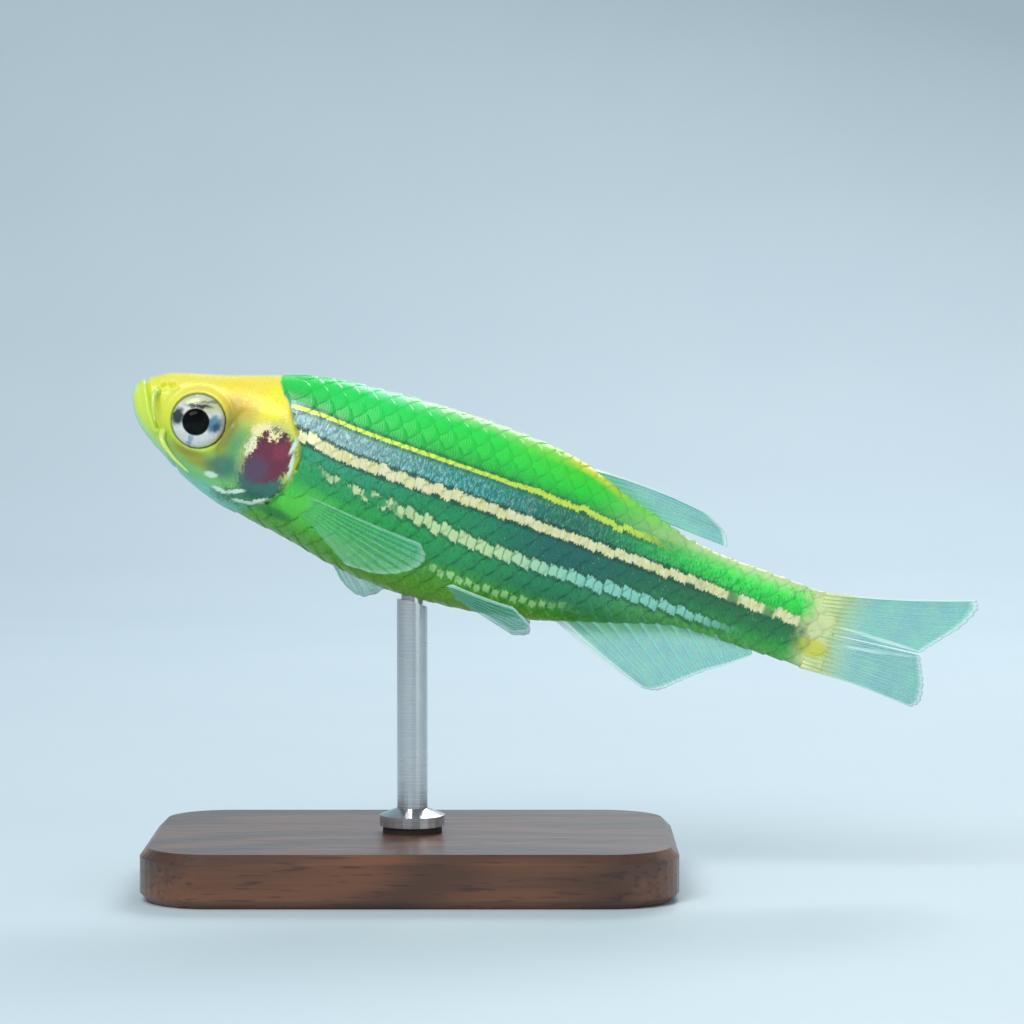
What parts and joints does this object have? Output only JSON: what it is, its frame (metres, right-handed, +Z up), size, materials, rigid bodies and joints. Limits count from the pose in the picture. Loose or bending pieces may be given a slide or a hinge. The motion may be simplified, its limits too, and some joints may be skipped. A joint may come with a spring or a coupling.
{
  "type": "zebra danio",
  "caption": "Still, life-size model of a small striped aquarium fish swimming head up, with ray-ridged fins, held on one short rod over a flat wooden base.",
  "frame": {"origin": "middle of the flat underside of the stand's base, under the rod", "axes": "+Z up; the fish's snout points towards -X and its tail towards +X, pitched 18.5 degrees head up about Y; its left flank faces -Y"},
  "size_m": [0.0385, 0.016, 0.0234],
  "materials": {
    "body_skin": "wet, scaled skin: bright green back, dark teal bands and cream stripes along the flank, olive-green belly",
    "head_skin": "smooth wet skin, yellow over the crown, lime on the snout, translucent green throat",
    "gill_cover": "thin silvery bone with maroon showing through and a pale rim",
    "eye": "silver iris round a black pupil under a clear wet cornea",
    "barbel": "soft, thin, slightly clear",
    "fin": "clear aqua membrane with brighter rays and edges",
    "stand_wood": "dark stained walnut, satin lacquer",
    "stand_steel": "fine brushed"
  },
  "bodies": {
    "root": {"head": "head_skin", "lower_jaw": "head_skin", "gill_cover_left": "gill_cover", "gill_cover_right": "gill_cover", "eye_left": "eye", "eye_right": "eye", "barbel_snout_left": "barbel", "barbel_snout_right": "barbel", "barbel_jaw_left": "barbel", "barbel_jaw_right": "barbel", "trunk": "body_skin", "tail": "body_skin", "dorsal_fin": "fin", "anal_fin": "fin", "caudal_fin_upper": "fin", "caudal_fin_lower": "fin", "pectoral_fin_left": "fin", "pectoral_fin_right": "fin", "pelvic_fin_left": "fin", "pelvic_fin_right": "fin", "stand_base": "stand_wood", "stand_rod": "stand_steel"}
  },
  "joints": []
}
